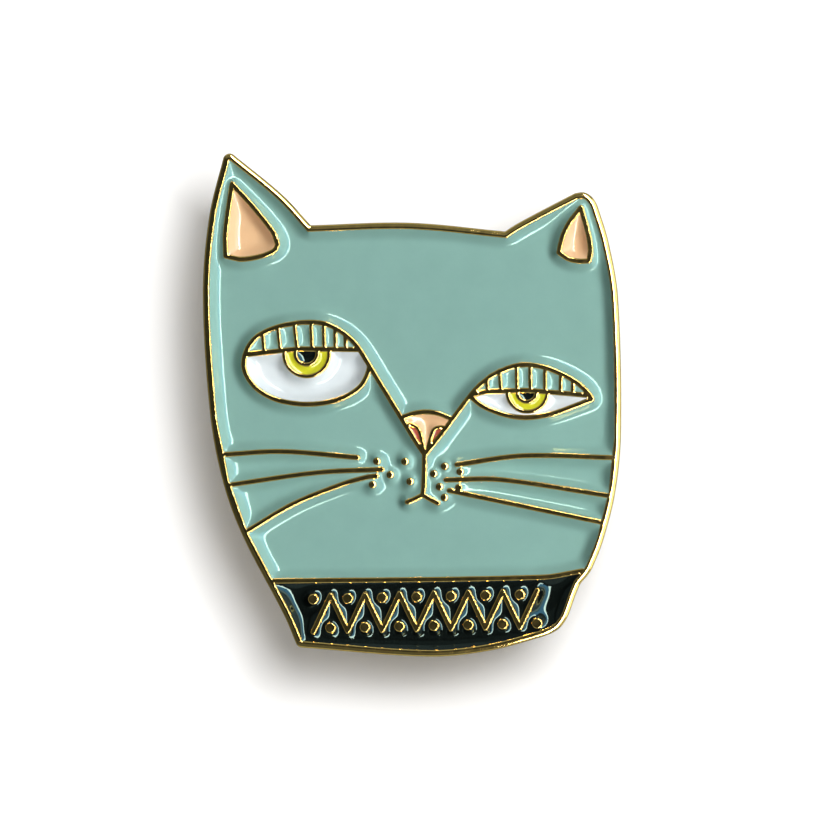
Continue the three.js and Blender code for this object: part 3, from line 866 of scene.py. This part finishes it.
LAMP_HEIGHT = 0.3  # above the pin
SLIDES = [joint for joint in frame["joints"] if joint["type"] == "slide"]
CLUTCH_TRAVEL = max(slide["range_m"][1] for slide in SLIDES)  # as it is pulled off its post
FLOOR_GAP = 0.2 * MM  # between a clutch that is pulled off and the floor
FLOOR_RADIUS = 2
FLOOR_SIDES = 64


def stage():
    """A plain pale floor, larger than any view of the pin. It lies so low that it clears the
    clutches when they are pulled off."""
    low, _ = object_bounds()
    skin = Skin()
    turn = [2 * math.pi * k / FLOOR_SIDES for k in range(FLOOR_SIDES)]
    floor_z = low.z - CLUTCH_TRAVEL - FLOOR_GAP
    rim = [(FLOOR_RADIUS * math.cos(a), FLOOR_RADIUS * math.sin(a), floor_z) for a in turn]
    skin.add(rim, [range(FLOOR_SIDES)])
    finish = Finish("pale_floor")
    pale, paler = srgb(246, 246, 246), srgb(250, 250, 250)
    finish.feed("Base Color", finish.mixed(finish.noise(40, 1), paler, pale))
    finish.set(Roughness=0.9, Specular_IOR_Level=0.1)
    floor = skin.build("floor", [finish.material])
    floor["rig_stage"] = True
    return floor


def strip_light(
    name, towards, tilt, width, length, radiance, colour, diffuse=True, glossy=True
):
    """A long light at LAMP_HEIGHT above the pin, on the side that `towards` points to in degrees
    from +X. It is `tilt` degrees away from the camera's line and `width` degrees wide. It may
    light a surface only as a mirror (no diffuse) or only evenly (no glossy)."""
    light = bpy.data.lights.new(name, "AREA")
    light.shape = "RECTANGLE"
    distance = LAMP_HEIGHT / math.cos(math.radians(tilt))
    light.size = 2 * distance * math.tan(math.radians(width / 2))
    light.size_y = length
    light.color = colour
    light.energy = radiance * math.pi * light.size * light.size_y
    lamp = bpy.data.objects.new(name, light)
    turn = Matrix.Rotation(math.radians(towards), 4, "Z") @ Matrix.Rotation(math.radians(tilt), 4, "Y")
    lamp.matrix_world = turn @ Matrix.Translation((0, 0, distance))
    lamp.visible_camera = False
    lamp.visible_diffuse = diffuse
    lamp.visible_glossy = glossy
    bpy.context.scene.collection.objects.link(lamp)
    return lamp


def soft_box(name, lean, height, size, radiance):
    """A square light over the pin that leans towards +X and +Y by two slopes and faces the pin."""
    light = bpy.data.lights.new(name, "AREA")
    light.shape = "SQUARE"
    light.size = size
    light.energy = radiance * math.pi * size**2
    lamp = bpy.data.objects.new(name, light)
    lamp.location = Vector((lean[0], lean[1], 1)) * height
    lamp.rotation_euler = lamp.location.to_track_quat("Z", "Y").to_euler()
    lamp.visible_camera = False
    bpy.context.scene.collection.objects.link(lamp)
    return lamp


def light_only(lamp, things, exclude=False):
    """The lamp lights these objects only, or all but them."""
    group = bpy.data.collections.new(lamp.name + "_receivers")
    for thing in things:
        group.objects.link(thing)
    lamp.light_linking.receiver_collection = group
    if exclude:
        for item in group.collection_objects:
            item.light_linking.link_state = "EXCLUDE"


floor = stage()

WARM = (0.97, 1, 0.86)
CREAM = (1, 0.86, 0.7)
SKY = (0.34, 0.7, 1)

# "soft" lights the pin evenly. The others are mostly there for what the surfaces mirror. Most stand to
# the pin's right, where slopes that fall to the right mirror them: "edge" shows in gentle slopes,
# the banks in steeper ones, and the low lamps in the steepest enamel and in rounded metal.
pin_lamps = [
    strip_light("soft", 5, 40, 24, 0.9, 7.3, (0.89, 1, 1.03), glossy=False),
    strip_light("low_bank", 5, 60, 12, 0.7, 3.0, WARM, diffuse=False),
    strip_light("edge", 2, 23.5, 11, 0.85, 25.0, CREAM, diffuse=False),
    strip_light("low_near", 0, 79, 18, 3.0, 0.75, WARM, diffuse=False),
    strip_light("low_far", 180, 79, 18, 3.0, 0.14, WARM, diffuse=False),
    strip_light("head", 90, 42, 50, 0.8, 0.12, WARM),
    strip_light("foot", -90, 42, 50, 0.8, 0.06, WARM),
    strip_light("low_head", 90, 79, 18, 3.0, 0.4, WARM, diffuse=False),
    strip_light("low_foot", -90, 79, 18, 3.0, 0.4, WARM, diffuse=False),
]
for lamp in pin_lamps:
    light_only(lamp, [floor], exclude=True)
metal_bank = strip_light("metal_bank", 5, 39, 26, 0.9, 1.5, WARM, diffuse=False)
light_only(metal_bank, [floor] + fills, exclude=True)
enamel_bank = strip_light("enamel_bank", 5, 39, 26, 0.9, 4.1, SKY, diffuse=False)
light_only(enamel_bank, fills)
floor_lamps = [
    soft_box("key", (0.108, 0.118), 0.3, 0.07, 60.0),
    soft_box("fill", (0, 0), 0.3, 0.45, 0.9),
]
for lamp in floor_lamps:
    light_only(lamp, [floor])

world = bpy.data.worlds.new("studio")
world.use_nodes = True
world.node_tree.nodes["Background"].inputs["Color"].default_value = (0.026, 0.029, 0.026, 1)
bpy.context.scene.world = world

VIEW_WIDTH = 1.615 * (PLATE_HIGH.y - PLATE_LOW.y)  # of the picture, at the pin's face
VIEW_X = -0.35 * MM  # the point that the camera looks straight down on
VIEW_Y = -0.1 * MM
CAMERA_LENS = 300
CAMERA_SENSOR = 36

camera_data = bpy.data.cameras.new("camera")
camera_data.lens = CAMERA_LENS
camera_data.sensor_width = CAMERA_SENSOR
camera_data.clip_start = 0.01
camera_data.clip_end = 10
camera = bpy.data.objects.new("camera", camera_data)
camera.location = (VIEW_X, VIEW_Y, PLATE_TOP + VIEW_WIDTH * CAMERA_LENS / CAMERA_SENSOR)
bpy.context.scene.collection.objects.link(camera)
bpy.context.scene.camera = camera
bpy.context.scene.view_settings.view_transform = "Standard"
